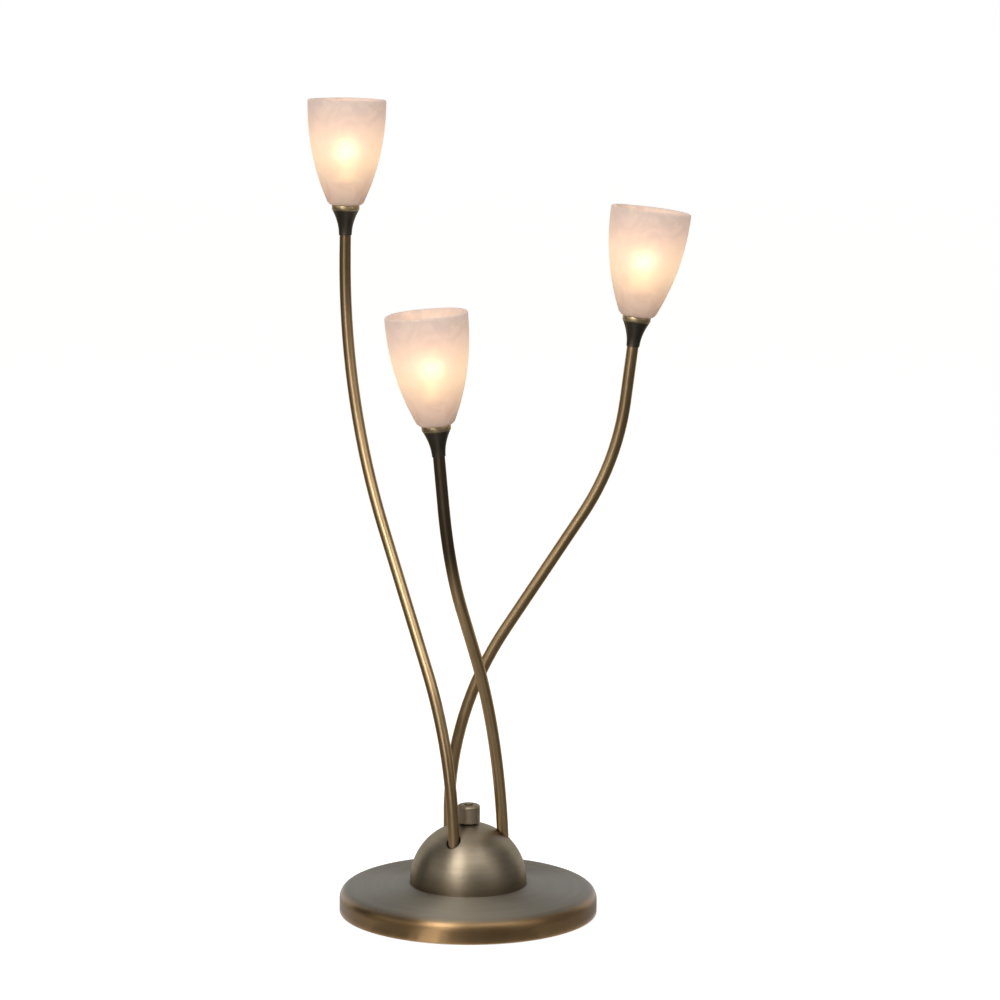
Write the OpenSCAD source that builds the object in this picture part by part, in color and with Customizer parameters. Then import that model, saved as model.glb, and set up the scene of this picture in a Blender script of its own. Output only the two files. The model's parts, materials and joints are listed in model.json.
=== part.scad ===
// Three-light table lamp: a weighted round base, a dome with a dimmer knob on top,
// and three bent tubes that each carry a cup, a tulip glass shade and a capsule bulb.
// Millimetres, +Z up, origin at the centre of the underside of the felt.

/* [Base] */
// Diameter of the base disc
base_d = 180; // [160:2:220]
// Height from the table to where the disc's shoulder begins
edge_h = 10; // [9:0.25:14]
// Radius of the disc's rounded shoulder
shoulder_r = 7.4; // [6:0.2:10]
// Rise of the disc's top between its shoulder and the dome
crown_h = 3; // [2:0.25:6]
// Sheet thickness of the disc
disc_t = 1.5; // [1:0.1:2]
// Thickness of the felt pad
felt_t = 1.5; // [1:0.25:2.5]
// Thickness of the bottom plate
bottom_t = 1.5; // [1:0.25:2]
// Bore of the cable grommet in the disc's rear edge
cable_d = 5.5; // [4.5:0.25:6]

/* [Dome] */
// Diameter of the dome
dome_d = 81.4; // [78:0.4:92]
// Height of the straight skirt below the half sphere
dome_skirt = 1.9; // [1:0.1:4]
// Sheet thickness of the dome
dome_t = 1.2; // [0.8:0.1:1.6]
// Distance from the lamp's axis to each arm's hole in the dome
hole_r = 24; // [23:0.5:26]
// Direction of the first arm's hole, seen from above
hole_angle = 5; // [0:1:20]
// Play around each tube in its hole
hole_play = 1; // [0.6:0.1:1.4]

/* [Knob] */
// Diameter of the dimmer knob
knob_d = 16; // [15:0.5:20]
// Height of the knob's side
knob_h = 12.3; // [11.5:0.1:16]
// Radius of the knob's rounded top edge
knob_edge_r = 2; // [1:0.25:3]
// Gap between the dome's top and the knob
knob_gap = 0.8; // [0.6:0.1:1.5]

/* [Arms] */
// Outside diameter of the arm tubes
tube_d = 8; // [8:0.5:10]
// Wall of the arm tubes
tube_wall = 1; // [0.8:0.1:1.2]

/* [Tall arm] */
// Direction that the tall arm leans in, seen from above
tall_direction = 127; // [110:1:140]
// Splay of the tall arm's foot
tall_splay = 3; // [0:0.5:8]
// Bend that lays the tall arm over
tall_lean = 26.5; // [15:0.5:32]
// Radius of that bend
tall_lean_r = 250; // [150:10:300]
// Straight slanting run of the tall arm
tall_run = 106; // [60:1:140]
// Turn of the tall arm's upper bend away from its lower one
tall_turn = 1; // [-10:1:10]
// Bend that brings the tall arm upright again
tall_return = 30; // [20:0.5:36]
// Radius of that bend
tall_return_r = 380; // [200:10:420]
// Straight end of the tall arm below its cup
tall_end = 12.5; // [8:0.5:60]

/* [Medium arm] */
// Direction that the medium arm leans in, seen from above
medium_direction = -1; // [-15:1:15]
// Splay of the medium arm's foot
medium_splay = 0; // [0:0.5:8]
// Bend that lays the medium arm over
medium_lean = 33; // [20:0.5:38]
// Radius of that bend
medium_lean_r = 240; // [150:10:300]
// Straight slanting run of the medium arm
medium_run = 96; // [60:1:120]
// Turn of the medium arm's upper bend away from its lower one
medium_turn = 0; // [-10:1:10]
// Bend that brings the medium arm nearly upright again
medium_return = 26; // [18:0.5:36]
// Radius of that bend
medium_return_r = 190; // [120:10:260]
// Straight end of the medium arm below its cup
medium_end = 38; // [10:0.5:60]

/* [Short arm] */
// Direction that the short arm leans in, seen from above
short_direction = -111; // [-125:1:-95]
// Splay of the short arm's foot
short_splay = 9; // [0:0.5:10]
// Bend that lays the short arm over
short_lean = 26.5; // [15:0.5:32]
// Radius of that bend
short_lean_r = 310; // [200:10:340]
// Straight slanting run of the short arm
short_run = 44; // [20:1:80]
// Turn of the short arm's upper bend away from its lower one
short_turn = 8; // [-10:1:15]
// Bend that brings the short arm nearly upright again
short_return = 32; // [24:0.5:38]
// Radius of that bend
short_return_r = 140; // [90:10:200]
// Straight end of the short arm below its cup
short_end = 34.5; // [10:0.5:60]

/* [Cups] */
// Height of each cup
cup_h = 21; // [18:0.5:26]
// Diameter of the cup's lip
cup_d = 19.5; // [18.5:0.25:23]
// Height of the cup's upright lip
cup_lip_h = 3.2; // [2:0.2:5]
// Wall of the cup's sleeve around the tube
sleeve_wall = 0.5; // [0.4:0.1:1]

/* [Shades] */
// Height of each glass shade
shade_h = 74; // [70:1:100]
// Diameter of the shade's mouth
shade_d = 55.2; // [54:0.4:76]
// Diameter of the bowl where it runs down into its foot
shade_root_d = 23.8; // [23.4:0.2:30]
// Thickness of the glass
glass_t = 3; // [2.5:0.1:4]
// Thickness of the shade's floor
floor_t = 3.4; // [3:0.1:5]

/* [Bulbs] */
// Diameter of the lampholder
holder_d = 16; // [15.5:0.25:17]
// Height of the lampholder
holder_h = 13.5; // [13:0.25:16]
// Diameter of the capsule bulb
bulb_d = 13; // [12:0.5:14]
// Height of the bulb above its holder
bulb_h = 33.5; // [30:0.5:36]

/* [Hidden] */
$fn = 96;

// Clearances
seat_gap = 0.3;     // between pieces that lie in one another
thread_gap = 0.05;  // around a screw, nut or tube in its own hole
play = 0.05;        // around the turning shaft
cut = 1;            // how far a cutting shape runs past a face

// Base
base_r = base_d / 2;
disc_lift = 0.8;                          // the disc's edge stays this far off the table
disc_top = edge_h + shoulder_r + crown_h; // where the dome stands
disc_under = disc_top - disc_t;
felt_inset = 2.5;
plate_low = felt_t;
weight_low = felt_t + bottom_t;
weight_bore_r = 30;
weight_gap = disc_t + seat_gap;
screw_turns = [30, 150, 270];             // bottom plate screws, seen from above
m3_r = 1.5;
m4_r = 2;
bottom_screw_at = base_r - 30;
bottom_screw_l = 9;

// Cable entry in the rear edge
grommet_r = cable_d / 2 + 0.8;
flange_r = grommet_r + 0.9;
flange_t = 1.2;
grommet_z = flange_r + disc_lift + 0.8;
cable_way_w = 2 * (flange_r + seat_gap);
cable_way_top = grommet_z + flange_r + seat_gap;

// Dome and what it covers
dome_r = dome_d / 2;
dome_z = disc_top + dome_skirt;           // centre of the half sphere
dome_top = dome_z + dome_r;
bead = 0.3;
bead_h = 0.7;
post_r = 4.2;
post_at = dome_r - dome_t - post_r + 0.3; // the screw posts run into the dome's wall
post_h = 9.5;
dome_screw_low = weight_low + 4;
dome_screw_top = disc_top + 7;
head_r = 3.8;
head_h = 2.6;
post_turns = [hole_angle + 60, hole_angle + 180, hole_angle + 300];
standoff_at = 24;
standoff_h = 13.8;
standoff_r = 4.04;                        // across corners, 7 mm across flats
standoff_grip = 6;
plate_t = 3;
plate_z = disc_top + standoff_h;
plate_r = sqrt(pow(dome_r - dome_t, 2) - pow(plate_z + plate_t - dome_z, 2)) - 2;
wire_way_r = 8;
lead_r = 2.1;
core_r = 1.2;
earth_at = 14;                            // the earth screw stands this far in front of the axis
tag_t = 0.8;

// Arm tubes
tube_r = tube_d / 2;
bore_r = tube_r - tube_wall;
nut_t = 3.5;
nut_r = tube_r + 2.93;
foot_z = plate_z - nut_t - 2.5;           // lower end of the tubes
foot_top = plate_z + plate_t + nut_t + 0.5;
foot_bend_r = 40;
swelling = 0.05;
lap = 0.4;
hole_z = dome_z + sqrt(pow(dome_r, 2) - pow(hole_r, 2));
// Length of each arm between its hole in the dome and its first bend
tall_rise = 5.5;
medium_rise = 11.5;
short_rise = 5.5;

// Dimmer and knob
bush_r = 3.5;
shaft_r = 3;
shaft_flat = 2.25;                        // from the shaft's axis to its flat
dimmer_r = 12;
dimmer_h = 13;
collar_r = 6;
collar_h = 2.6;
dimmer_top = dome_z + sqrt(pow(dome_r - dome_t, 2) - pow(collar_r, 2)) - collar_h - thread_gap;
dimmer_low = dimmer_top - dimmer_h;
dimmer_nut_t = 2;
dimmer_nut_r = 5.77;
bush_top = dome_top + dimmer_nut_t + 1.2;
knob_r = knob_d / 2;
knob_low = dome_top + knob_gap;
knob_top = knob_low + knob_h;
knob_hollow_r = dimmer_nut_r + 0.7;
knob_hollow_top = bush_top + 0.5;
button_r = 3;
button_h = 0.8;
shaft_top = knob_top - 2.8;
shaft_low = dimmer_low + 3;
set_screw_z = (knob_hollow_top + shaft_top) / 2;

// Terminal block under the disc
block_l = 34;
block_w = 17;
block_h = 10;
block_low = disc_under - block_h;
pole_pitch = 8;
fixing_at = block_l / 2 - 3;
lead_drop_r = 4.5;
lead_level = disc_under - block_h / 2;

// Cups, shades and bulbs, measured up from the lower end of the cup
sleeve_r = tube_r + thread_gap + sleeve_wall;
socket_depth = 7;
cup_r = cup_d / 2;
washer_t = 1;
recess_depth = 0.8;
recess_r = cup_r - 1.1;
shade_low = cup_h - recess_depth + washer_t;
shade_floor = shade_low + floor_t;
holder_low = shade_floor + washer_t;
holder_grip = 5;                          // of the nipple in the holder's base
holder_base_h = holder_grip + 0.5;
holder_top = holder_low + holder_h;
nipple_low = socket_depth + 0.6;
nipple_top = holder_low + holder_grip;
shade_hole_r = tube_r + 0.8;
shade_foot_r = cup_r + 0.3;
flare = 1.95;                             // power of the cup's flare
swell = 2.23;                             // power of the bowl's curve
pin_at = 4.5;
pin_r = 0.75;
pin_hole_r = 1.4;
pin_depth = holder_h - holder_base_h;
pinch_w = 11.6;
pinch_t = 4;
pinch_h = 8;
bulb_glass_t = 1;
bulb_low = holder_top + 0.4;
bulb_top = holder_top + bulb_h;
filament_z = bulb_top - 13;
hoop_r = 2.5;
wire_way = hoop_r + 0.8;                  // half width of the wires' way through the pinch
root_h = 1.6;                             // height of the rounding at the shade's foot
floor_fillet = 1.1;

// An arm as a tube bender makes it: each row is a turn about the tube's own axis, a straight
// length, a bend angle and its radius. An arm holds its foot's place, its rows, and the turn of
// its hole, the direction it leans in and its splay.
function foot_shift(splay) = foot_bend_r * (1 - cos(splay)) + foot_straight(splay) * sin(splay);
function foot_straight(splay) = (hole_z - foot_top - foot_bend_r * sin(splay)) / cos(splay);
function foot_rows(direction, splay, rise, lean, lean_r) =
    let (foot = foot_top - foot_z)
    splay > 0
        ? [[direction, foot, splay, foot_bend_r], [0, foot_straight(splay) + rise, lean, lean_r]]
        : [[direction, foot + foot_straight(0) + rise, lean, lean_r]];
// Where an arm's foot stands, so that the tube passes through its hole in the dome
function foot_place(turn, direction, splay) = [
    hole_r * cos(turn) - foot_shift(splay) * cos(direction),
    hole_r * sin(turn) - foot_shift(splay) * sin(direction),
    foot_z];
SHORT = [
    foot_place(hole_angle, short_direction, short_splay),
    concat(foot_rows(short_direction, short_splay, short_rise, short_lean, short_lean_r),
        [[180 + short_turn, short_run, short_return, short_return_r], [0, short_end, 0, 0]]),
    [hole_angle, short_direction, short_splay]];
MEDIUM = [
    foot_place(hole_angle + 120, medium_direction, medium_splay),
    concat(foot_rows(medium_direction, medium_splay, medium_rise, medium_lean, medium_lean_r),
        [[180 + medium_turn, medium_run, medium_return, medium_return_r], [0, medium_end, 0, 0]]),
    [hole_angle + 120, medium_direction, medium_splay]];
TALL = [
    foot_place(hole_angle - 120, tall_direction, tall_splay),
    concat(foot_rows(tall_direction, tall_splay, tall_rise, tall_lean, tall_lean_r),
        [[180 + tall_turn, tall_run, tall_return, tall_return_r], [0, tall_end, 0, 0]]),
    [hole_angle - 120, tall_direction, tall_splay]];
ARMS = [TALL, MEDIUM, SHORT];

// Carries its children through one row of bends
module past(row) {
    rotate([0, 0, row[0]])
        translate([row[3] * (1 - cos(row[2])), 0, row[1] + row[3] * sin(row[2])])
            rotate([0, row[2], 0]) children();
}

// Solid rod along the rows, with its first end at the origin. The bends are a little fuller
// than the straights and lap over their ends, so that each meets the next in a clean step.
module rod_along(rows, r, start = 0, i = 0) {
    if (i < len(rows)) {
        row = rows[i];
        before = i > 0 ? lap : start;
        after = row[2] > 0 ? lap : 0;
        rotate([0, 0, row[0]]) {
            translate([0, 0, -before]) cylinder(r = r, h = row[1] + before + after);
            if (row[2] > 0)
                translate([row[3], 0, row[1]]) rotate([90, 0, 180])
                    rotate_extrude(angle = row[2]) translate([row[3], 0]) circle(r + swelling);
        }
        past(row) rod_along(rows, r, 0, i + 1);
    }
}

// Places its children at the far end of the rows
module past_all(rows, i = 0) {
    if (i < len(rows)) past(rows[i]) past_all(rows, i + 1) children();
    else children();
}

// Places its children where an arm ends, with +Z along the tube
module at_tip(arm) {
    translate(arm[0]) past_all(arm[1]) children();
}

// The same rows with the last straight length made longer
function longer(rows, more) = [for (i = [0 : len(rows) - 1])
    i < len(rows) - 1 ? rows[i] : [rows[i][0], rows[i][1] + more, rows[i][2], rows[i][3]]];

module ring(r_out, r_in, h) {
    difference() {
        cylinder(r = r_out, h = h);
        translate([0, 0, -cut]) cylinder(r = r_in, h = h + 2 * cut);
    }
}

module hex_nut(r, bore, h) {
    difference() {
        cylinder(r = r, h = h, $fn = 6);
        translate([0, 0, -cut]) cylinder(r = bore, h = h + 2 * cut);
    }
}

// Cheese-head screw, head down: the head's seat is at the origin and the shank points up
module cheese_screw(r, l, hr, hh) {
    difference() {
        union() {
            cylinder(r = r - thread_gap, h = l);
            translate([0, 0, -hh]) cylinder(r = hr, h = hh);
        }
        translate([-hr - cut, -0.4, -hh - cut]) cube([2 * (hr + cut), 0.8, cut + hh * 0.4]);
    }
}

// Half outline of the disc, drawn in by a gap on every side that the disc closes
module disc_outline(gap, low) {
    r = base_r - gap;
    flat_r = base_r - shoulder_r;
    top = edge_h + shoulder_r - gap;
    difference() {
        union() {
            polygon([[0, low], [r, low], [r, edge_h], [flat_r, edge_h], [flat_r, top],
                [dome_r, top + crown_h], [0, top + crown_h]]);
            translate([flat_r, edge_h]) circle(shoulder_r - gap);
        }
        translate([0, low - 2 * shoulder_r]) square([base_r + cut, 2 * shoulder_r]);
    }
}

// ---------------------------------------------------------------- base

module felt_pad() {
    color("#3a332c") cylinder(r = base_r - disc_t - felt_inset, h = felt_t);
}

module bottom_plate() {
    color("#8f8f8c") difference() {
        translate([0, 0, plate_low]) cylinder(r = base_r - disc_t - seat_gap, h = bottom_t);
        for (a = screw_turns) rotate([0, 0, a]) translate([bottom_screw_at, 0, plate_low]) {
            translate([0, 0, -0.01]) cylinder(r1 = 2 * m3_r, r2 = m3_r, h = bottom_t);
            cylinder(r = m3_r + thread_gap, h = bottom_t + cut);
        }
        translate([-flange_r - 1, base_r - disc_t - flange_t - 2, plate_low - cut])
            cube([2 * flange_r + 2, 10, bottom_t + 2 * cut]);
    }
}

module bottom_plate_screws() {
    color("#b9b6ae") for (a = screw_turns) rotate([0, 0, a])
        translate([bottom_screw_at, 0, plate_low]) difference() {
            union() {
                cylinder(r1 = 2 * m3_r - thread_gap, r2 = m3_r - thread_gap, h = bottom_t);
                cylinder(r = m3_r - thread_gap, h = bottom_screw_l);
            }
            for (t = [0, 90]) rotate([0, 0, t])
                translate([-1.6, -0.3, -cut]) cube([3.2, 0.6, cut + 0.8]);
        }
}

module base_weight() {
    color("#4a4a48") difference() {
        rotate_extrude() difference() {
            disc_outline(weight_gap, weight_low);
            translate([-cut, 0]) square([weight_bore_r + cut, disc_top]);
        }
        for (a = post_turns) rotate([0, 0, a]) translate([post_at, 0, 0]) {
            cylinder(r = m4_r + 0.25, h = disc_top);
            cylinder(r = head_r + 0.6, h = dome_screw_low);
        }
        for (a = screw_turns) rotate([0, 0, a]) translate([bottom_screw_at, 0, 0])
            cylinder(r = m3_r, h = plate_low + bottom_screw_l + 1);
        translate([-cable_way_w / 2, 0, 0]) cube([cable_way_w, base_r, cable_way_top]);
    }
}

module base_disc() {
    color("#7d7669") difference() {
        rotate_extrude() difference() {
            disc_outline(0, disc_lift);
            disc_outline(disc_t, 0);
        }
        translate([0, 0, disc_under - cut]) cylinder(r = wire_way_r, h = disc_t + 2 * cut);
        for (arm = ARMS) translate([arm[0][0], arm[0][1], disc_under - cut])
            cylinder(r = lead_r + 0.9, h = disc_t + 2 * cut);
        for (a = post_turns) rotate([0, 0, a]) for (x = [post_at, standoff_at])
            translate([x, 0, disc_under - cut]) cylinder(r = m4_r + 0.25, h = disc_t + 2 * cut);
        for (x = [-fixing_at, fixing_at]) translate([x, 0, disc_under - cut])
            cylinder(r = m3_r, h = disc_t + 2 * cut);
        translate([0, base_r - disc_t - cut, grommet_z]) rotate([-90, 0, 0])
            cylinder(r = grommet_r + thread_gap, h = disc_t + 2 * cut);
    }
}

module cable_grommet() {
    color("#6b5a3c") translate([0, base_r, grommet_z]) rotate([-90, 0, 0]) difference() {
        union() {
            translate([0, 0, -disc_t - 0.2]) cylinder(r = grommet_r, h = disc_t + 0.4);
            translate([0, 0, 0.1]) cylinder(r = flange_r, h = flange_t);
            translate([0, 0, -disc_t - 0.2 - flange_t]) cylinder(r = flange_r, h = flange_t);
        }
        translate([0, 0, -disc_t - flange_t - cut])
            cylinder(r = cable_d / 2, h = disc_t + 2 * flange_t + 2 * cut);
    }
}

// ---------------------------------------------------------------- wiring and frame

module terminal_block() {
    color("#e8e4d8") difference() {
        translate([-block_l / 2, -block_w / 2, block_low]) cube([block_l, block_w, block_h]);
        for (x = [-1, 0, 1], y = [-1, 1]) translate([x * pole_pitch, y * block_w / 4, block_low - cut])
            cylinder(r = m3_r + 0.1, h = 4 + cut);
        for (x = [-fixing_at, fixing_at]) translate([x, 0, block_low - cut])
            cylinder(r = m3_r + 0.1, h = block_h + 2 * cut);
        for (x = [-1, 0, 1]) translate([x * pole_pitch, 0, lead_level])
            rotate([90, 0, 0]) translate([0, 0, -block_w / 2 - cut])
                cylinder(r = core_r + 0.3, h = 4 + cut);
    }
}

module terminal_screws() {
    color("#c8a858") for (x = [-1, 0, 1], y = [-1, 1])
        translate([x * pole_pitch, y * block_w / 4, block_low + 0.6]) difference() {
            cylinder(r = m3_r, h = 3.4);
            translate([-m3_r - cut, -0.25, -cut]) cube([2 * (m3_r + cut), 0.5, cut + 0.7]);
        }
}

module terminal_fixings() {
    color("#b9b6ae") for (x = [-fixing_at, fixing_at]) translate([x, 0, block_low])
        cheese_screw(m3_r, block_h + disc_t + 1, 2.7, 1.8);
}

module dome_screws() {
    color("#b9b6ae") for (a = post_turns) rotate([0, 0, a]) translate([post_at, 0, dome_screw_low])
        cheese_screw(m4_r, dome_screw_top - dome_screw_low, head_r, head_h);
}

module plate_standoffs() {
    color("#c2b27e") for (a = post_turns) rotate([0, 0, a]) translate([standoff_at, 0, disc_top])
        hex_nut(standoff_r, m4_r, standoff_h);
}

module standoff_screws() {
    color("#b9b6ae") for (a = post_turns) rotate([0, 0, a]) translate([standoff_at, 0, 0]) {
        translate([0, 0, disc_under]) cheese_screw(m4_r, disc_t + standoff_grip, head_r, head_h);
        translate([0, 0, plate_z + plate_t]) rotate([180, 0, 0])
            cheese_screw(m4_r, plate_t + standoff_grip, head_r, head_h);
    }
}

// Steel plate that the three tubes are nutted to
module arm_plate() {
    color("#a3a39e") translate([0, 0, plate_z]) difference() {
        cylinder(r = plate_r, h = plate_t);
        translate([0, 0, -cut]) cylinder(r = wire_way_r, h = plate_t + 2 * cut);
        for (arm = ARMS) translate([arm[0][0], arm[0][1], -cut])
            cylinder(r = tube_r + 0.15, h = plate_t + 2 * cut);
        for (a = post_turns) rotate([0, 0, a]) translate([standoff_at, 0, -cut])
            cylinder(r = m4_r + 0.25, h = plate_t + 2 * cut);
        translate([0, -earth_at, -cut]) cylinder(r = m4_r, h = plate_t + 2 * cut);
    }
}

module arm_nuts() {
    color("#c2b27e") for (arm = ARMS, z = [plate_z - nut_t, plate_z + plate_t])
        translate([arm[0][0], arm[0][1], z]) hex_nut(nut_r, tube_r + thread_gap, nut_t);
}

// Earth point on the arm plate, with its lead down to the terminal block
module earth_screw() {
    color("#c2b27e") translate([0, -earth_at, plate_z - tag_t])
        cheese_screw(m4_r, plate_t + tag_t + 2, 3.4, 2);
}

module earth_lead() {
    color("#5f9e3a") difference() {
        union() {
            translate([0, -earth_at, plate_z - tag_t]) cylinder(r = 3.6, h = tag_t);
            translate([-1.6, -earth_at, plate_z - tag_t]) cube([3.2, earth_at - 6 + core_r, tag_t]);
            translate([0, -6, disc_under]) cylinder(r = core_r, h = plate_z - disc_under);
        }
        translate([0, -earth_at, plate_z - tag_t - cut]) cylinder(r = m4_r, h = tag_t + 2 * cut);
    }
}

// ---------------------------------------------------------------- dome and dimmer

module dome_solid(r) {
    rotate_extrude() {
        intersection() {
            translate([0, dome_z]) circle(r);
            translate([0, dome_z]) square([r + cut, r + cut]);
        }
        translate([0, disc_top]) square([r, dome_skirt]);
    }
}

module dome() {
    color("#80735c") difference() {
        union() {
            difference() {
                union() {
                    dome_solid(dome_r);
                    translate([0, 0, disc_top]) cylinder(r = dome_r + bead, h = bead_h);
                }
                dome_solid(dome_r - dome_t);
                translate([0, 0, disc_top - cut]) cylinder(r = dome_r - dome_t, h = 2 * cut);
            }
            intersection() {
                for (a = post_turns) rotate([0, 0, a]) translate([post_at, 0, disc_top])
                    cylinder(r = post_r, h = post_h);
                dome_solid(dome_r - dome_t / 2);
            }
        }
        for (a = post_turns) rotate([0, 0, a]) translate([post_at, 0, disc_top - cut])
            cylinder(r = m4_r, h = post_h - 1 + cut);
        translate([0, 0, dome_z]) cylinder(r = bush_r + 0.1, h = dome_r + cut);
        for (arm = ARMS)
            translate([hole_r * cos(arm[2][0]), hole_r * sin(arm[2][0]), hole_z])
                rotate([0, arm[2][2], arm[2][1]])
                    cylinder(r = tube_r + hole_play, h = hole_r, center = true);
    }
}

module dimmer_body() {
    color("#2e2c2a") difference() {
        union() {
            translate([0, 0, dimmer_low]) cylinder(r = dimmer_r, h = dimmer_h);
            translate([0, 0, dimmer_top]) cylinder(r = collar_r, h = collar_h);
            translate([0, 0, dimmer_top]) cylinder(r = bush_r, h = bush_top - dimmer_top);
        }
        translate([0, 0, shaft_low - 0.3]) cylinder(r = shaft_r + play, h = dome_r);
    }
}

module dimmer_leads() {
    color("#8a3b2c") for (x = [-4, 4]) translate([x, 0, disc_under])
        cylinder(r = core_r, h = dimmer_low - disc_under);
}

module dimmer_nut() {
    color("#c2b27e") translate([0, 0, dome_top]) hex_nut(dimmer_nut_r, bush_r + thread_gap, dimmer_nut_t);
}

// D-shaped shaft, shared by the dimmer's shaft and the knob's bore
module d_shaft(r, flat, h) {
    difference() {
        cylinder(r = r, h = h);
        translate([-r - cut, flat, -cut]) cube([2 * (r + cut), r, h + 2 * cut]);
    }
}

module dimmer_shaft() {
    color("#c9c4b4") {
        translate([0, 0, shaft_low]) cylinder(r = shaft_r, h = bush_top - shaft_low);
        translate([0, 0, bush_top]) d_shaft(shaft_r, shaft_flat, shaft_top - bush_top);
    }
}

module knob() {
    color("#8a7b62") difference() {
        rotate_extrude() {
            translate([0, knob_low]) square([knob_r, knob_h - knob_edge_r]);
            translate([0, knob_low]) square([knob_r - knob_edge_r, knob_h]);
            translate([knob_r - knob_edge_r, knob_top - knob_edge_r]) circle(knob_edge_r);
            translate([0, knob_top]) square([button_r, button_h]);
        }
        translate([0, 0, knob_low - cut])
            cylinder(r = knob_hollow_r, h = knob_hollow_top - knob_low + cut);
        translate([0, 0, knob_low])
            d_shaft(shaft_r + thread_gap, shaft_flat + thread_gap, shaft_top - knob_low + 0.2);
        translate([0, 0, set_screw_z]) rotate([-90, 0, 0]) cylinder(r = m3_r, h = knob_r + cut);
    }
}

module knob_set_screw() {
    color("#4a4a48") translate([0, shaft_flat + 0.1, set_screw_z]) rotate([-90, 0, 0]) difference() {
        cylinder(r = m3_r - thread_gap, h = knob_r - shaft_flat - 0.8);
        translate([0, 0, knob_r - shaft_flat - 2.3]) cylinder(r = 0.87, h = 3, $fn = 6);
    }
}

// ---------------------------------------------------------------- arms

module arm_tube(arm) {
    color("#93815f") translate(arm[0]) difference() {
        rod_along(longer(arm[1], socket_depth), tube_r);
        rod_along(longer(arm[1], socket_depth + cut), bore_r, cut);
    }
}

// Sheathed lead from the terminal block's side, out under the arm's foot, then up the tube to
// the lampholder
module arm_lead(arm) {
    outward = atan2(arm[0][1], arm[0][0]);
    from = block_w / 4;
    reach = norm([arm[0][0], arm[0][1]]) - lead_drop_r - from;
    rise = foot_z - lead_level - lead_drop_r;
    rows = longer(arm[1], nipple_top - 0.2);
    lead_rows = concat(
        [[180, reach, 90, lead_drop_r],
        [rows[0][0] - outward - 180, rows[0][1] + rise, rows[0][2], rows[0][3]]],
        [for (i = [1 : len(rows) - 1]) rows[i]]);
    color("#d9d2c2") difference() {
        rotate([0, 0, outward]) translate([from, 0, lead_level]) rotate([0, 90, 0])
            rod_along(lead_rows, lead_r);
        translate([-block_l / 2 - 0.1, -block_w / 2 - 0.1, block_low])
            cube([block_l + 0.2, block_w + 0.2, block_h]);
    }
}

// ---------------------------------------------------------------- cups, shades and bulbs

function cup_radius(h) = sleeve_r + (cup_r - 0.25 - sleeve_r) * pow(h / (cup_h - cup_lip_h), flare);

module cup(arm) {
    flare_h = cup_h - cup_lip_h;
    steps = 12;
    color("#5d5547") at_tip(arm) difference() {
        rotate_extrude() polygon(concat(
            [[0, 0]],
            [for (i = [0 : steps]) [cup_radius(i * flare_h / steps), i * flare_h / steps]],
            [[cup_r, flare_h + 0.25], [cup_r, cup_h - 0.4], [cup_r - 0.4, cup_h], [0, cup_h]]));
        translate([0, 0, -cut]) cylinder(r = tube_r + thread_gap, h = cup_h + 2 * cut);
        translate([0, 0, cup_h - recess_depth]) cylinder(r = recess_r, h = recess_depth + cut);
    }
}

// Threaded tube that ties the cup, the shade and the lampholder together
module nipple(arm) {
    color("#c2b27e") at_tip(arm) translate([0, 0, nipple_low])
        ring(tube_r, bore_r, nipple_top - nipple_low);
}

module seat_washer(arm) {
    color("#2b2a28") at_tip(arm) translate([0, 0, shade_low - washer_t])
        ring(recess_r - 0.2, tube_r + 0.2, washer_t);
}

function bowl_radius(h) = shade_d / 2 - (shade_d - shade_root_d) / 2 * pow(1 - h / shade_h, swell);

module glass_shade(arm) {
    steps = 18;
    lip_r = glass_t / 2;
    top = shade_h - lip_r;
    inside = floor_t + floor_fillet;
    color("#f3d9c0", 0.8) at_tip(arm) translate([0, 0, shade_low]) rotate_extrude() {
        polygon(concat(
            [[shade_hole_r, 0]],
            [for (t = [0 : 22.5 : 67.5])
                [shade_foot_r + (bowl_radius(root_h) - shade_foot_r) * sin(t), root_h * (1 - cos(t))]],
            [for (i = [0 : steps]) let (h = root_h + i * (top - root_h) / steps) [bowl_radius(h), h]],
            [for (i = [steps : -1 : 0]) let (h = inside + i * (top - inside) / steps)
                [bowl_radius(h) - glass_t, h]],
            [[bowl_radius(inside) - glass_t - floor_fillet, floor_t], [shade_hole_r, floor_t]]));
        translate([bowl_radius(top) - lip_r, top]) circle(lip_r);
    }
}

module clamp_washer(arm) {
    color("#c9c4b4") at_tip(arm) translate([0, 0, shade_floor])
        ring(holder_d / 2, tube_r + 0.2, washer_t);
}

// Threaded ceramic base that screws on the nipple, and the body cemented on it
module lampholder_base(arm) {
    color("#e6dfd0") at_tip(arm) translate([0, 0, holder_low])
        ring(holder_d / 2, tube_r + thread_gap, holder_base_h);
}

module lampholder(arm) {
    color("#efe9dc") at_tip(arm) translate([0, 0, holder_top - pin_depth]) difference() {
        cylinder(r = holder_d / 2 - 0.4, h = pin_depth);
        for (x = [-pin_at, pin_at]) translate([x, 0, -cut])
            cylinder(r = pin_hole_r, h = pin_depth + 2 * cut);
    }
}

// Spring sleeves in the pin holes of the three lampholders
module holder_contacts() {
    color("#c9b06a") for (arm = ARMS) at_tip(arm) for (x = [-pin_at, pin_at])
        translate([x, 0, holder_top - pin_depth + 0.3])
            ring(pin_hole_r - thread_gap, pin_r + 0.1, pin_depth - 2);
}

// Outline of the capsule above its pinch, drawn in by a gap
module capsule_outline(gap) {
    r = bulb_d / 2 - gap;
    neck = bulb_low + pinch_h;
    shoulder = neck + 4;
    intersection() {
        union() {
            polygon([[0, neck - 1.5], [2 - gap, neck - 1.5], [r, shoulder], [r, bulb_top - bulb_d / 2],
                [0, bulb_top - bulb_d / 2]]);
            translate([0, bulb_top - bulb_d / 2]) circle(r);
        }
        translate([0, bulb_low]) square([bulb_d, bulb_h]);
    }
}

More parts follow.
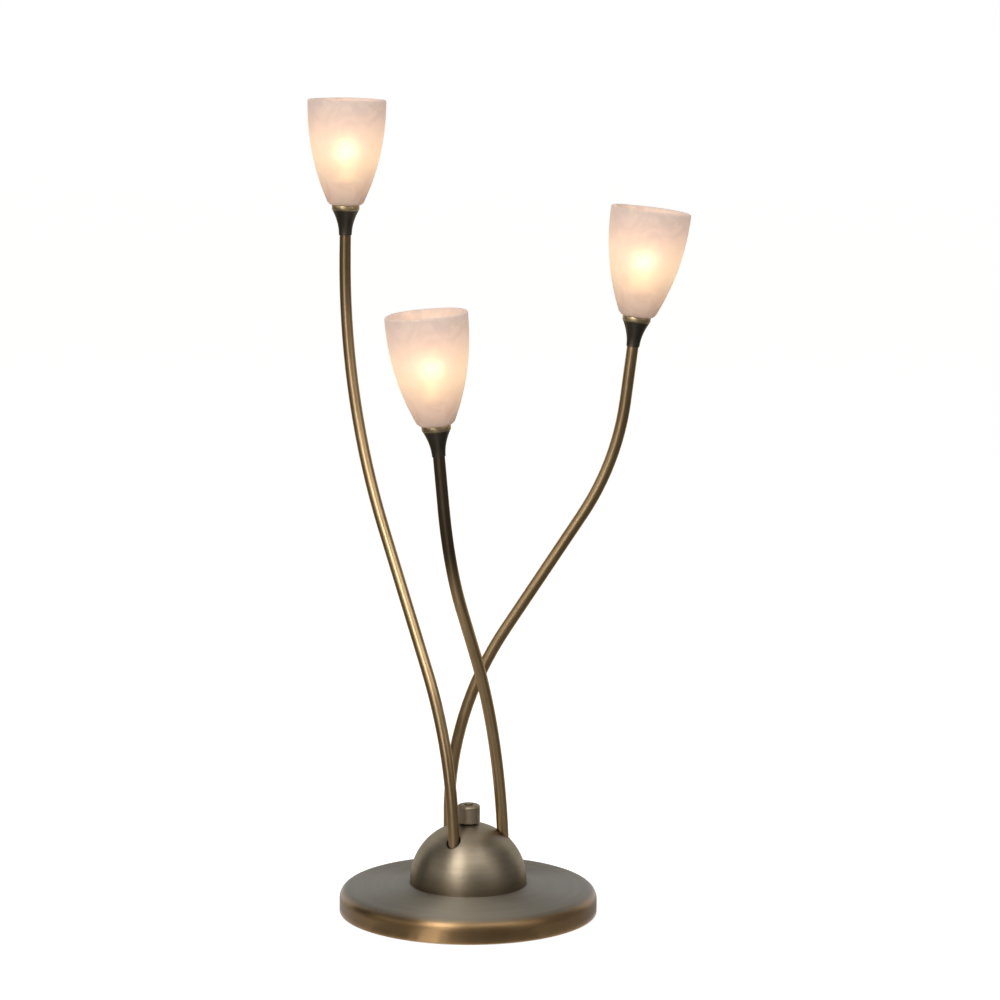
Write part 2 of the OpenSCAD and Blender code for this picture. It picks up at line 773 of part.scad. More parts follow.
module bulb_glass(arm) {
    color("#fff2d0", 0.6) at_tip(arm) difference() {
        union() {
            rotate_extrude() capsule_outline(0);
            translate([-pinch_w / 2, -pinch_t / 2, bulb_low]) cube([pinch_w, pinch_t, pinch_h]);
        }
        rotate_extrude() capsule_outline(bulb_glass_t);
        translate([-pinch_w / 2 + 0.3, -1, bulb_low - cut]) cube([pinch_w - 0.6, 2, pinch_h + cut - 0.5]);
        translate([-wire_way, -1, bulb_low + pinch_h - 1]) cube([2 * wire_way, 2, 2.2]);
    }
}

module bulb_filament(arm) {
    stem_low = bulb_low + 5;
    color("#d9a441") at_tip(arm) {
        for (s = [-1, 1]) {
            translate([s * pin_at, 0, holder_top - pin_depth + 0.6])
                cylinder(r = pin_r, h = stem_low + 1 - holder_top + pin_depth - 0.6);
            translate([s * (pin_at + hoop_r) / 2 - 1.5, -0.3, stem_low]) cube([3, 0.6, 1.5]);
            translate([s * hoop_r, 0, stem_low]) cylinder(r = 0.4, h = filament_z - stem_low);
        }
        translate([0, 0, filament_z]) rotate([90, 0, 0])
            rotate_extrude(angle = 180) translate([hoop_r, 0]) circle(0.6);
    }
}

felt_pad();
bottom_plate();
bottom_plate_screws();
base_weight();
base_disc();
cable_grommet();
terminal_block();
terminal_screws();
terminal_fixings();
dome_screws();
plate_standoffs();
standoff_screws();
arm_plate();
arm_nuts();
earth_screw();
earth_lead();
dome();
dimmer_body();
dimmer_leads();
dimmer_nut();
dimmer_shaft();
knob();
knob_set_screw();
arm_tube(TALL);  // arm_tall
arm_tube(MEDIUM);  // arm_medium
arm_tube(SHORT);  // arm_short
arm_lead(TALL);  // arm_lead_tall
arm_lead(MEDIUM);  // arm_lead_medium
arm_lead(SHORT);  // arm_lead_short
cup(TALL);  // cup_tall
cup(MEDIUM);  // cup_medium
cup(SHORT);  // cup_short
nipple(TALL);  // nipple_tall
nipple(MEDIUM);  // nipple_medium
nipple(SHORT);  // nipple_short
seat_washer(TALL);  // seat_washer_tall
seat_washer(MEDIUM);  // seat_washer_medium
seat_washer(SHORT);  // seat_washer_short
glass_shade(TALL);  // glass_shade_tall
glass_shade(MEDIUM);  // glass_shade_medium
glass_shade(SHORT);  // glass_shade_short
clamp_washer(TALL);  // clamp_washer_tall
clamp_washer(MEDIUM);  // clamp_washer_medium
clamp_washer(SHORT);  // clamp_washer_short
lampholder_base(TALL);  // lampholder_base_tall
lampholder_base(MEDIUM);  // lampholder_base_medium
lampholder_base(SHORT);  // lampholder_base_short
lampholder(TALL);  // lampholder_tall
lampholder(MEDIUM);  // lampholder_medium
lampholder(SHORT);  // lampholder_short
holder_contacts();
bulb_glass(TALL);  // bulb_glass_tall
bulb_glass(MEDIUM);  // bulb_glass_medium
bulb_glass(SHORT);  // bulb_glass_short
bulb_filament(TALL);  // bulb_filament_tall
bulb_filament(MEDIUM);  // bulb_filament_medium
bulb_filament(SHORT);  // bulb_filament_short
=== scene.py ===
import json
import math

import bmesh
import bpy
from mathutils import Matrix, Vector

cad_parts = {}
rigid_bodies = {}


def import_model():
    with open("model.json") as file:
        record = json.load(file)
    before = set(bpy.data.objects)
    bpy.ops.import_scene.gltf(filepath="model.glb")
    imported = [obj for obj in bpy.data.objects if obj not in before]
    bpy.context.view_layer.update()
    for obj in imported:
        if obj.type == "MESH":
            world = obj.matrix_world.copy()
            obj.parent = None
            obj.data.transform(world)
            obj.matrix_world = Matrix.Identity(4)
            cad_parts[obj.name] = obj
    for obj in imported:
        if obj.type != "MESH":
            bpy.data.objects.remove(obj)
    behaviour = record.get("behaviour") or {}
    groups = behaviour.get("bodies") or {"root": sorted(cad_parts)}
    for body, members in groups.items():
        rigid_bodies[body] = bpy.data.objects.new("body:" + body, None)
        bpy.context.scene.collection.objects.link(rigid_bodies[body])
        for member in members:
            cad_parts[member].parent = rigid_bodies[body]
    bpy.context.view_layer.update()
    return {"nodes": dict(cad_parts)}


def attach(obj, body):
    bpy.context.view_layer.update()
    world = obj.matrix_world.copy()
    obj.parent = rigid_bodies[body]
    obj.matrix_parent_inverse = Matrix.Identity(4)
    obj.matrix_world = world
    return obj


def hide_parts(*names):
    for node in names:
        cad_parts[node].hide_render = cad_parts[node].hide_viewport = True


for leftover in list(bpy.data.objects):
    bpy.data.objects.remove(leftover)
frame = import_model()
lamp = frame["nodes"]


# ---------------------------------------------------------------- felt
# The pad that the lamp stands on: a disc of pressed brown wool felt, glued under
# the bottom plate. Its fibres lie every way, so it is matt and slightly mottled.


class Wire:
    """A socket in a finish. Python's own arithmetic on it adds the Math nodes."""

    def __init__(self, finish, socket):
        self.finish = finish
        self.socket = socket

    def sum(self, operation, *terms):
        """A Math node on these terms."""
        return self.finish.node("ShaderNodeMath", {"operation": operation}, dict(enumerate(terms)))

    def __add__(self, other):
        return self.sum("ADD", self, other)

    def __sub__(self, other):
        return self.sum("SUBTRACT", self, other)

    def __rsub__(self, other):
        return self.sum("SUBTRACT", other, self)

    def __mul__(self, other):
        return self.sum("MULTIPLY", self, other)

    def __truediv__(self, other):
        return self.sum("DIVIDE", self, other)

    def __pow__(self, power):
        return self.sum("POWER", self, power)

    __radd__ = __add__
    __rmul__ = __mul__


class Finish:
    """A material. Plain values go straight to its shader's sockets; node() makes the rest."""

    def __init__(self, name, **plain):
        self.material = bpy.data.materials.new(name)
        self.material.use_nodes = True
        self.tree = self.material.node_tree
        self.shader = self.tree.nodes["Principled BSDF"]
        self.end = self.tree.nodes["Material Output"]
        for socket, value in plain.items():
            self.shader.inputs[socket.replace("_", " ")].default_value = value

    def node(self, kind, settings=None, sockets=None, out=0):
        """Adds a node: its settings come first, then the values or links of its sockets."""
        made = self.tree.nodes.new(kind)
        for name, value in (settings or {}).items():
            if name == "stops":
                ramp = made.color_ramp
                while len(ramp.elements) < len(value):
                    ramp.elements.new(0.5)
                for element, (place, colour) in zip(ramp.elements, value):
                    element.position = place
                    element.color = (*colour, 1.0)
            else:
                setattr(made, name, value)
        for socket, value in (sockets or {}).items():
            if isinstance(value, Wire):
                self.tree.links.new(value.socket, made.inputs[socket])
            else:
                made.inputs[socket].default_value = value
        return Wire(self, made.outputs[out])

    def place(self):
        """Where a point lies on the piece, in metres, as a vector and as x, y and z."""
        vector = self.node("ShaderNodeTexCoord", out="Object")
        return vector, [self.node("ShaderNodeSeparateXYZ", None, {0: vector}, axis) for axis in "XYZ"]

    def vector(self, x, y, z):
        return self.node("ShaderNodeCombineXYZ", None, {0: x, 1: y, 2: z})

    def noise(self, vector, scale, detail=4.0, rough=0.55, warp=0.0):
        sockets = {"Vector": vector, "Scale": scale, "Detail": detail, "Roughness": rough, "Distortion": warp}
        return self.node("ShaderNodeTexNoise", None, sockets, "Fac")

    def between(self, value, low, high):
        """0 where value is low, 1 where it is high, with soft ends."""
        return self.node("ShaderNodeMapRange", {"interpolation_type": "SMOOTHSTEP"},
                         {0: value, 1: low, 2: high})

    def mix(self, share, first, second):
        colour = [c if isinstance(c, Wire) else (*c, 1.0) for c in (first, second)]
        return self.node("ShaderNodeMix", {"data_type": "RGBA"}, {0: share, 6: colour[0], 7: colour[1]}, 2)

    def ramp(self, value, stops):
        return self.node("ShaderNodeValToRGB", {"stops": stops}, {0: value}, "Color")

    def shows(self, **links):
        """Links what varies over the surface to the shader's sockets of those names."""
        for socket, wire in links.items():
            self.tree.links.new(wire.socket, self.shader.inputs[socket.replace("_", " ")])
        return self

    def bumped(self, height, depth):
        """Raises the surface by height times depth, which is in metres."""
        bump = self.node("ShaderNodeBump", None, {"Distance": depth, "Height": height}, "Normal")
        return self.shows(Normal=bump)

    def on(self, *names):
        """Gives this finish to CAD nodes."""
        for name in names:
            for slot in lamp[name].material_slots:
                slot.material = self.material
        return self


felt = Finish("pressed_felt", Roughness=0.97, Sheen_Weight=0.3, Sheen_Roughness=0.6)
place, _ = felt.place()
fibres = felt.noise(place, 900.0, 6.0, 0.7)
mottle = felt.noise(place, 90.0, 3.0)
felt.shows(Base_Color=felt.mix(0.6 * fibres + 0.4 * mottle, (0.018, 0.014, 0.011), (0.085, 0.068, 0.052)))
felt.bumped(fibres, 0.0006).on("felt_pad")


# ---------------------------------------------------------------- bottom plate and screws
# Blanked steel plate, zinc plated, that closes the disc from below. Three
# countersunk screws hold it to the weight; the same plating is on all the steelwork.

zinc = Finish("zinc_plated_steel", Metallic=1.0)
place, _ = zinc.place()
spangle = zinc.node("ShaderNodeTexVoronoi", None, {"Vector": place, "Scale": 260.0}, "Color")
smear = zinc.noise(place, 45.0, 5.0, 0.6)
crystals = zinc.node("ShaderNodeSeparateXYZ", None, {0: spangle}, "X")
zinc.shows(Base_Color=zinc.mix(0.35 * crystals + 0.65 * smear, (0.42, 0.42, 0.40), (0.66, 0.66, 0.64)),
           Roughness=0.28 + 0.16 * smear + 0.08 * crystals)
zinc.bumped(smear, 0.00006)
zinc.on("bottom_plate", "bottom_plate_screws", "terminal_fixings", "dome_screws", "standoff_screws",
        "arm_plate", "dimmer_shaft", "knob_set_screw", "clamp_washer_tall", "clamp_washer_medium",
        "clamp_washer_short")


# ---------------------------------------------------------------- weight
# Grey iron casting that keeps the lamp from tipping, with a sand-cast skin under a
# thin coat of black paint. Three screws clamp it, the disc and the dome together.

casting = Finish("sand_cast_iron", Metallic=0.25)
place, _ = casting.place()
sand = casting.noise(place, 700.0, 5.0, 0.65)
flow = casting.noise(place, 60.0, 3.0)
casting.shows(Base_Color=casting.mix(0.5 * sand + 0.5 * flow, (0.018, 0.018, 0.019), (0.10, 0.095, 0.09)),
              Roughness=0.55 + 0.3 * sand)
casting.bumped(sand, 0.0004).on("base_weight")


# ---------------------------------------------------------------- disc
# Base cover spun from 1.5 mm brass sheet with a full rounded shoulder, coloured
# to antique bronze, brushed round on the lathe and lacquered matt.


def spun(finish):
    """Lathe marks: fine lines, broad bands and soft clouds. Returns them and the height."""
    place, (x, y, z) = finish.place()
    radius = (x * x + y * y) ** 0.5
    rim = radius + 0.0001  # never nought, not even on the axis

    def turned(across, along, detail):
        """Noise that changes quickly across the lathe's cut and slowly along it."""
        return finish.node("ShaderNodeTexNoise", {"noise_dimensions": "4D"}, {
            "Vector": finish.vector(x / rim * along, y / rim * along, z * across), "W": radius * across,
            "Scale": 1.0, "Detail": detail, "Roughness": 0.6}, "Fac")

    return turned(2100.0, 2.6, 3.0), turned(230.0, 1.2, 4.0), finish.noise(place, 38.0, 4.0, 0.6), z


disc_finish = Finish("spun_bronze_disc", Metallic=1.0, Anisotropic=0.75, Anisotropic_Rotation=0.25,
                     Specular_Tint=(0.86, 0.90, 0.96, 1.0))
lines, bands, clouds, z = spun(disc_finish)
side_top, crown_low = 0.0140, 0.0175
edge = 1 - disc_finish.between(z, side_top, crown_low)
# The side and shoulder are painted a warmer gold than the greyer top: partly the bronze's own tone, partly
# painted reflection of warm light on the side and of the cool white surround on the top.
top_grey_and_painted_reflection = disc_finish.mix(0.55 * bands + 0.45 * clouds, (0.195, 0.173, 0.136), (0.318, 0.285, 0.228))
side_gold_and_painted_reflection = disc_finish.mix(0.55 * bands + 0.45 * clouds, (0.190, 0.118, 0.055), (0.370, 0.245, 0.125))
disc_finish.shows(Base_Color=disc_finish.mix(edge, top_grey_and_painted_reflection, side_gold_and_painted_reflection),
                  Roughness=0.58 - 0.27 * edge + 0.08 * lines + 0.06 * clouds)
disc_finish.bumped(lines, 0.00005).on("base_disc")


# ---------------------------------------------------------------- cable inlet
# Moulded rubber grommet snapped into the disc's rear edge, soft brown, with the
# dull bloom that rubber gets.

grommet = Finish("brown_rubber", Roughness=0.62)
place, _ = grommet.place()
bloom = grommet.noise(place, 300.0, 4.0)
grommet.shows(Base_Color=grommet.mix(bloom, (0.045, 0.033, 0.022), (0.095, 0.073, 0.050)))
grommet.bumped(bloom, 0.0002).on("cable_grommet")


# ---------------------------------------------------------------- terminal block
# Three-pole block moulded in ivory nylon, screwed up under the disc, with brass
# clamp screws.

nylon = Finish("ivory_nylon", Roughness=0.42, Subsurface_Weight=0.1)
place, _ = nylon.place()
tint = nylon.noise(place, 120.0, 3.0)
nylon.shows(Base_Color=nylon.mix(tint, (0.66, 0.62, 0.52), (0.80, 0.77, 0.68)))
nylon.bumped(nylon.noise(place, 1500.0, 2.0), 0.0001).on("terminal_block")

brass = Finish("turned_brass", Metallic=1.0)
place, (x, y, z) = brass.place()
turning = brass.noise(brass.vector(x * 60.0, y * 60.0, z * 3000.0), 1.0, 3.0)
tarnish = brass.noise(place, 110.0, 4.0, 0.6)
brass.shows(Base_Color=brass.mix(tarnish, (0.42, 0.29, 0.12), (0.72, 0.55, 0.27)),
            Roughness=0.22 + 0.2 * tarnish)
brass.bumped(turning, 0.00004)
brass.on("terminal_screws", "plate_standoffs", "arm_nuts", "earth_screw", "dimmer_nut", "holder_contacts",
         "nipple_tall", "nipple_medium", "nipple_short")


# ---------------------------------------------------------------- leads
# Sheathed two-core lead through each tube, two dimmer wires and the green earth
# wire with its crimped tag. All are soft plastic, slightly glossy and finger-marked.


def sheath(name, dark, pale):
    finish = Finish(name, Roughness=0.38)
    place, _ = finish.place()
    marks = finish.noise(place, 180.0, 4.0)
    finish.shows(Base_Color=finish.mix(marks, dark, pale))
    return finish.bumped(finish.noise(place, 1400.0, 2.0), 0.00008)


sheath("ivory_sheath", (0.52, 0.47, 0.37), (0.70, 0.66, 0.55)).on("arm_lead_tall", "arm_lead_medium",
                                                                  "arm_lead_short")
sheath("red_sheath", (0.24, 0.045, 0.025), (0.36, 0.075, 0.045)).on("dimmer_leads")
sheath("earth_sheath", (0.05, 0.20, 0.03), (0.30, 0.42, 0.05)).on("earth_lead")


# ---------------------------------------------------------------- dome
# Half ball spun from brass sheet with a fine bead at its foot, three clearance
# holes for the tubes, and the disc's finish, browner low down where it is rubbed less.

dome_finish = Finish("spun_bronze_dome", Metallic=1.0, Anisotropic=0.55, Anisotropic_Rotation=0.25,
                     Specular_Tint=(0.55, 0.53, 0.50, 1.0))
lines, bands, clouds, z = spun(dome_finish)
dome_foot, worn_from = 0.0212, 0.0372
low = 1 - dome_finish.between(z, dome_foot, worn_from)
rubbed = dome_finish.mix(0.65 * bands + 0.35 * clouds, (0.186, 0.157, 0.115), (0.385, 0.330, 0.247))
brown = dome_finish.mix(0.65 * bands + 0.35 * clouds, (0.138, 0.106, 0.070), (0.300, 0.234, 0.162))
dome_finish.shows(Base_Color=dome_finish.mix(0.7 * low, rubbed, brown),
                  Roughness=0.34 + 0.10 * lines + 0.08 * clouds)
dome_finish.bumped(lines, 0.00007).on("dome")


# ---------------------------------------------------------------- dimmer and knob
# Rotary dimmer in a black moulded housing, held in the dome by its bush and nut.
# Its knob is turned brass with a rounded top edge and a small raised button.

housing = Finish("black_moulding", Roughness=0.45)
place, _ = housing.place()
pores = housing.noise(place, 1100.0, 3.0)
housing.shows(Base_Color=housing.mix(pores, (0.012, 0.012, 0.012), (0.045, 0.043, 0.041)))
housing.bumped(pores, 0.0001).on("dimmer_body")

knob_finish = Finish("turned_bronze_knob", Metallic=1.0, Specular_Tint=(0.60, 0.57, 0.52, 1.0))
lines, bands, clouds, z = spun(knob_finish)
knob_shoulder, button_top = 0.0747, 0.0762
# Painted shade: the knob's top, above its shoulder, is painted darker than its side.
top_painted_darker = knob_finish.between(z, knob_shoulder, button_top)
skin = knob_finish.mix(0.5 * bands + 0.5 * clouds, (0.250, 0.205, 0.147), (0.480, 0.405, 0.305))
knob_finish.shows(Base_Color=knob_finish.mix(0.5 * top_painted_darker, skin, (0.16, 0.13, 0.09)),
                  Roughness=0.40 + 0.12 * lines + 0.08 * clouds)
knob_finish.bumped(lines, 0.00008).on("knob")


# ---------------------------------------------------------------- arms
# Three 8 mm brass tubes, bent cold and nutted to the steel plate in the dome.
# They are brushed along their length and darkened. Two carry painted shade near the cups, where their colour
# is made darker.

# In millimetres and degrees: the hole's turn round the dome, the way the arm leans and its splay
# there, the rise to its first bend, the two bends, the run between them and the end above
bends = {
    "tall": {"hole": -120, "direction": 127, "splay": 3, "rise": 5.5, "lean": 26.5, "lean_r": 250,
             "run": 106, "turn": 1, "back": 30, "back_r": 380, "end": 12.5},
    "medium": {"hole": 120, "direction": -1, "splay": 0, "rise": 11.5, "lean": 33, "lean_r": 240,
               "run": 96, "turn": 0, "back": 26, "back_r": 190, "end": 38},
    "short": {"hole": 0, "direction": -111, "splay": 9, "rise": 5.5, "lean": 26.5, "lean_r": 310,
              "run": 44, "turn": 8, "back": 32, "back_r": 140, "end": 34.5},
}
dome_r, dome_centre, hole_ring, first_hole = 40.7, 22.3, 24.0, 5.0
foot_low, foot_top, foot_bend_r = 28.2, 41.2, 40.0
hole_height = dome_centre + math.sqrt(dome_r ** 2 - hole_ring ** 2)


def tip_of(hole, direction, splay, rise, lean, lean_r, run, turn, back, back_r, end):
    """Follows a tube from its foot. Returns its tip in metres, and there the way across and along it."""
    hole, way, spread = (math.radians(d) for d in (first_hole + hole, direction, splay))
    straight = (hole_height - foot_top - foot_bend_r * math.sin(spread)) / math.cos(spread)
    shift = foot_bend_r * (1 - math.cos(spread)) + straight * math.sin(spread)
    here = Matrix.Translation((hole_ring * math.cos(hole) - shift * math.cos(way),
                               hole_ring * math.sin(hole) - shift * math.sin(way), foot_low))
    for twist, length, bend, radius in ((direction, foot_top - foot_low, splay, foot_bend_r),
                                        (0, straight + rise, lean, lean_r),
                                        (180 + turn, run, back, back_r), (0, end, 0, 0)):
        twist, bend = math.radians(twist), math.radians(bend)
        step = (radius * (1 - math.cos(bend)), 0, length + radius * math.sin(bend))
        here = here @ Matrix.Rotation(twist, 4, "Z") @ Matrix.Translation(step)
        here = here @ Matrix.Rotation(bend, 4, "Y")
    return here.translation / 1000, here.col[0].xyz, here.col[2].xyz


tips = {arm: tip_of(**bend) for arm, bend in bends.items()}

tube_finish = Finish("drawn_bronze_tube", Metallic=1.0, Specular_Tint=(0.50, 0.45, 0.38, 1.0))
place, (x, y, z) = tube_finish.place()
strokes = tube_finish.noise(tube_finish.vector(x * 1300.0, y * 1300.0, z * 34.0), 1.0, 3.0, 0.6)
stains = tube_finish.noise(place, 28.0, 4.0, 0.6)
drawn = tube_finish.mix(0.18 * strokes + 0.82 * stains, (0.285, 0.194, 0.100), (0.515, 0.380, 0.216))
painted_shade_tone = tube_finish.mix(stains, (0.110, 0.082, 0.050), (0.200, 0.152, 0.096))


def clear_of(arm, near, far):
    """0 within near of an arm's tip and 1 beyond far, in metres."""
    distance = tube_finish.node("ShaderNodeVectorMath", {"operation": "DISTANCE"},
                                {0: place, 1: tips[arm][0]}, "Value")
    return tube_finish.between(distance, near, far)


# Painted shade: half strength near the tall arm's cup, full strength near the short arm's cup.
painted_shade_near_cups = 1.5 - 0.5 * clear_of("tall", 0.020, 0.095) - clear_of("short", 0.062, 0.095)
tube_finish.shows(Base_Color=tube_finish.mix(painted_shade_near_cups, drawn, painted_shade_tone),
                  Roughness=0.30 + 0.03 * strokes + 0.05 * stains)
tube_finish.bumped(strokes, 0.00001).on("arm_tall", "arm_medium", "arm_short")


# ---------------------------------------------------------------- cups
# Turned brass cup on the end of each tube: a thin sleeve that flares out to a
# short upright lip. It is blackened bronze with a paler ring at the lip, partly
# rubbed back and partly a painted glow of the lamp's light falling on it.


def at_tip(piece, arm, with_pins=False):
    """Stands a piece that is made upright at the origin on the end of an arm."""
    origin, across, along = tips[arm]
    if not with_pins:
        across = (Vector((1, 0, 0)) - along * along.x).normalized()
    piece.matrix_world = Matrix((across, along.cross(across), along)).transposed().to_4x4()
    piece.matrix_world.translation = origin
    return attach(piece, "lamp")


def lathe(name, outline, finish, steps=128, waver=None):
    """Turns an outline of (radius, height) in millimetres into a piece."""
    shape = bmesh.new()
    rings = []
    for radius, height in outline:
        ring = []
        for step in range(steps):
            turn = 2 * math.pi * step / steps
            r, h = waver(radius, height, turn) if waver else (radius, height)
            ring.append(shape.verts.new((r * math.cos(turn) / 1000, r * math.sin(turn) / 1000, h / 1000)))
        rings.append(ring)
    for inner, outer in zip(rings, rings[1:] + rings[:1]):
        for step in range(steps):
            after = (step + 1) % steps
            shape.faces.new((inner[step], inner[after], outer[after], outer[step]))
    bmesh.ops.recalc_face_normals(shape, faces=shape.faces)
    mesh = bpy.data.meshes.new(name)
    shape.to_mesh(mesh)
    shape.free()
    mesh.shade_smooth()
    mesh.set_sharp_from_angle(angle=math.radians(32))
    mesh.materials.append(finish.material)
    piece = bpy.data.objects.new(name, mesh)
    bpy.context.scene.collection.objects.link(piece)
    return piece


cup_finish = Finish("blackened_bronze_cup", Metallic=1.0, Specular_Tint=(0.55, 0.50, 0.42, 1.0))
lines, bands, clouds, z = spun(cup_finish)
ring_from, ring_full = 0.0168, 0.0186
lip = cup_finish.between(z, ring_from, ring_full)
cone = cup_finish.mix(0.5 * bands + 0.5 * clouds, (0.058, 0.052, 0.043), (0.160, 0.140, 0.108))
# The paler ring is partly painted light: the lamp's glow falling on the lip.
ring = cup_finish.mix(0.5 * bands + 0.5 * clouds, (0.330, 0.250, 0.145), (0.700, 0.560, 0.340))
cup_finish.shows(Base_Color=cup_finish.mix(lip, cone, ring), Roughness=0.30 + 0.12 * lines + 0.10 * clouds)
cup_finish.bumped(lines, 0.00006)

tube_way, sleeve, cup_r, recess_r = 4.05, 4.55, 9.75, 8.65
flare_top, flare_out, flare_power, seat, cup_top = 17.8, 4.95, 1.95, 20.2, 21.0
flare = [flare_top * step / 32 for step in range(1, 33)]
cup_outline = [(tube_way, 0.0), (sleeve - 0.13, 0.0), (sleeve, 0.12)]
cup_outline += [(sleeve + flare_out * (h / flare_top) ** flare_power, h) for h in flare]
cup_outline += [(cup_r - 0.07, flare_top + 0.13), (cup_r, flare_top + 0.3), (cup_r, cup_top - 0.45),
                (cup_r - 0.13, cup_top - 0.13), (cup_r - 0.4, cup_top), (recess_r, cup_top),
                (recess_r, seat), (tube_way, seat)]
for arm in tips:
    cup = lathe(f"turned_cup_{arm}", cup_outline, cup_finish)
    at_tip(cup, arm)
    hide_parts(f"cup_{arm}")


# ---------------------------------------------------------------- seats and lampholders
# A rubber washer under each shade, and above it a white ceramic lampholder: a threaded
# base on the nipple and a body cemented to it, both unglazed with a faint cast grain.

rubber = Finish("black_rubber", Roughness=0.7)
place, _ = rubber.place()
dust = rubber.noise(place, 500.0, 4.0)
rubber.shows(Base_Color=rubber.mix(dust, (0.012, 0.012, 0.012), (0.05, 0.048, 0.045)))
rubber.bumped(dust, 0.0001).on("seat_washer_tall", "seat_washer_medium", "seat_washer_short")

ceramic = Finish("unglazed_ceramic", Roughness=0.75)
place, _ = ceramic.place()
grain = ceramic.noise(place, 900.0, 4.0, 0.6)
scorch = ceramic.noise(place, 80.0, 3.0)
ceramic.shows(Base_Color=ceramic.mix(0.5 * grain + 0.5 * scorch, (0.52, 0.48, 0.42), (0.74, 0.71, 0.65)))
ceramic.bumped(grain, 0.0001)
ceramic.on("lampholder_tall", "lampholder_medium", "lampholder_short")
ceramic.on("lampholder_base_tall", "lampholder_base_medium", "lampholder_base_short")


# ---------------------------------------------------------------- bulbs
# Halogen capsule bulb with two pins: a coiled wire in a quartz capsule whose foot
# is pressed flat. All three are alight, brightest beside the coil.

coil = Finish("glowing_wire", Metallic=1.0, Roughness=0.5, Emission_Strength=40.0)
place, _ = coil.place()
winding = coil.noise(place, 2600.0, 2.0)
coil.shows(Base_Color=coil.mix(winding, (0.32, 0.28, 0.22), (0.55, 0.50, 0.42)),
           Emission_Color=coil.mix(winding, (1.0, 0.60, 0.22), (1.0, 0.80, 0.45)))
coil.on("bulb_filament_tall", "bulb_filament_medium", "bulb_filament_short")

quartz = Finish("lit_quartz", Roughness=0.3, Transmission_Weight=0.6, IOR=1.45, Emission_Strength=9.5)
place, (_, _, z) = quartz.place()
cloud = quartz.noise(place, 160.0, 3.0)
glow_from, glow_to = 0.0400, 0.0726
glow = quartz.ramp(quartz.between(z, glow_from, glow_to) + 0.06 * (cloud - 0.5), [
    (0.0, (0.03, 0.01, 0.01)), (0.30, (0.16, 0.08, 0.035)), (0.46, (0.55, 0.36, 0.18)),
    (0.60, (1.0, 0.96, 0.90)), (0.74, (0.75, 0.55, 0.32)), (0.88, (0.25, 0.14, 0.07)),
    (1.0, (0.10, 0.05, 0.025))])
quartz.shows(Base_Color=quartz.mix(cloud, (0.90, 0.84, 0.74), (0.98, 0.95, 0.90)), Emission_Color=glow)

capsule_r, capsule_wall, belly_top = 6.5, 0.9, 66.1
inside_r, capsule_end = capsule_r - capsule_wall, belly_top + capsule_r


def half_round(radius, turns):
    """The capsule's closed end, as points at the turns given in degrees."""
    return [(radius * math.cos(a), belly_top + radius * math.sin(a)) for a in map(math.radians, turns)]


capsule_outline = [(0.6, 46.0), (3.0, 47.2), (4.6, 49.2), (5.9, 50.9), (6.45, 52.4)]
capsule_outline += [(capsule_r, h) for h in (54.0, 58.0, 62.0, belly_top)]
capsule_outline += half_round(capsule_r, range(6, 90, 6))
capsule_outline += [(0.1, capsule_end), (0.1, capsule_end - capsule_wall)]
capsule_outline += half_round(inside_r, range(84, -1, -12))
capsule_outline += [(inside_r, 54.0), (5.5, 52.5), (4.9, 51.2), (3.7, 49.8), (2.0, 48.4), (0.6, 47.6)]


def press_foot(piece, wide=11.6, thick=3.6, low=39.5, high=47.6, rounding=0.7):
    """Adds the flat pressed foot, with rounded edges, to a capsule."""
    shape = bmesh.new()
    bmesh.ops.create_cube(shape, size=1.0)
    for vert in shape.verts:
        vert.co = (vert.co.x * wide / 1000, vert.co.y * thick / 1000,
                   ((low + high) / 2 + vert.co.z * (high - low)) / 1000)
    bmesh.ops.bevel(shape, geom=list(shape.edges), offset=rounding / 1000, segments=3, profile=0.5,
                    affect="EDGES")
    for face in shape.faces:
        face.smooth = True
    shape.from_mesh(piece.data)
    shape.to_mesh(piece.data)
    shape.free()


for arm in tips:
    bulb = lathe(f"quartz_capsule_{arm}", capsule_outline, quartz, steps=48)
    press_foot(bulb)
    at_tip(bulb, arm, with_pins=True)
    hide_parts(f"bulb_glass_{arm}")


# ---------------------------------------------------------------- shades
# Tulip shade pressed in white glass with faint marbling, 3 mm thick, etched matt
# inside and out, with a fire-rounded rim. The bulb's light shows through it, and
# a painted glow is added: an emission colour by height, warmest beside the bulb.

shade_low, shade_high, bowl, root, swell, thick = 21.2, 74.0, 27.6, 11.9, 2.23, 3.0
round_at = shade_high - thick / 2


def bowl_radius(h):
    """The shade's outside radius at a height above its foot, both in millimetres."""
    return bowl - (bowl - root) * (1 - h / shade_high) ** swell


marble = Finish("etched_marbled_glass", Transmission_Weight=0.38, IOR=1.3, Emission_Strength=0.5)
place, (_, _, z) = marble.place()
up = (z - shade_low / 1000) / (shade_high / 1000)
veil = marble.noise(place, 26.0, 5.0, 0.62, 1.4)
veins = marble.between(marble.noise(place, 42.0, 6.0, 0.6, 2.6), 0.40, 0.62)
milk = 0.6 * veil + 0.4 * veins
# Painted glow: the glass is given a warm emission colour by height, brightest beside the bulb.
painted_glow = marble.ramp(up + 0.10 * (veil - 0.5), [
    (0.0, (0.20, 0.12, 0.08)), (0.16, (0.55, 0.36, 0.24)), (0.42, (1.0, 0.76, 0.46)),
    (0.62, (1.0, 0.73, 0.48)), (0.80, (0.66, 0.47, 0.36)), (1.0, (0.36, 0.31, 0.28))])
marble.shows(Base_Color=marble.mix(milk, (0.44, 0.36, 0.32), (0.50, 0.42, 0.38)),
             Emission_Color=marble.mix(0.20 * veins, painted_glow, (0.95, 0.72, 0.50)),
             Roughness=0.68 + 0.14 * veil)
marble.bumped(marble.noise(place, 1800.0, 3.0), 0.00006)

